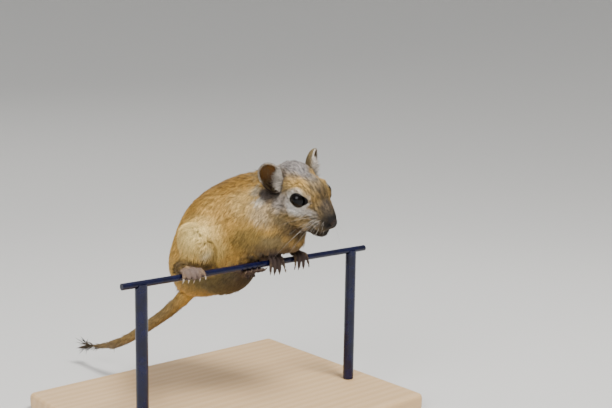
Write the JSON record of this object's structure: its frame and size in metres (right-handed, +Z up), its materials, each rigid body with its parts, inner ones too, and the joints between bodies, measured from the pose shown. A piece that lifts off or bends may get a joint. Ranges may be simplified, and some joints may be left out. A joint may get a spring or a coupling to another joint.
{
  "type": "gerbil model on a wire perch",
  "caption": "Life-size still model of a golden agouti gerbil leaning out over a short wire perch, on two rods and a flat wooden base.",
  "frame": {"origin": "under the middle of the whole model's box, at the level of the base's underside", "axes": "+X along the perch wire towards its right-hand rod, +Y to the side where the rump and tail hang, +Z up; the head looks out towards -Y"},
  "size_m": [0.14, 0.1608, 0.1203],
  "materials": {
    "fur": "short dense golden agouti fur",
    "skin": "thinly furred pale pink skin with horn claws",
    "ear_skin": "thin brown ear skin with a pale rim",
    "eye": "wet black",
    "enamel": "navy enamelled steel wire",
    "wood": "satin oiled pale wood"
  },
  "bodies": {
    "root": {"torso": "fur", "neck": "fur", "head": "fur", "tail_base": "fur", "tail_mid": "fur", "tail_tip": "fur", "foreleg_right": "fur", "foreleg_left": "fur", "hindleg_right": "fur", "hindleg_left": "fur", "forepaw_right": "skin", "forepaw_left": "skin", "hindfoot_right": "skin", "hindfoot_left": "skin", "ear_right": "ear_skin", "ear_left": "ear_skin", "eye_right": "eye", "eye_left": "eye", "perch_wire": "enamel", "stand_rod_left": "enamel", "stand_rod_right": "enamel", "stand_base": "wood"}
  },
  "joints": []
}
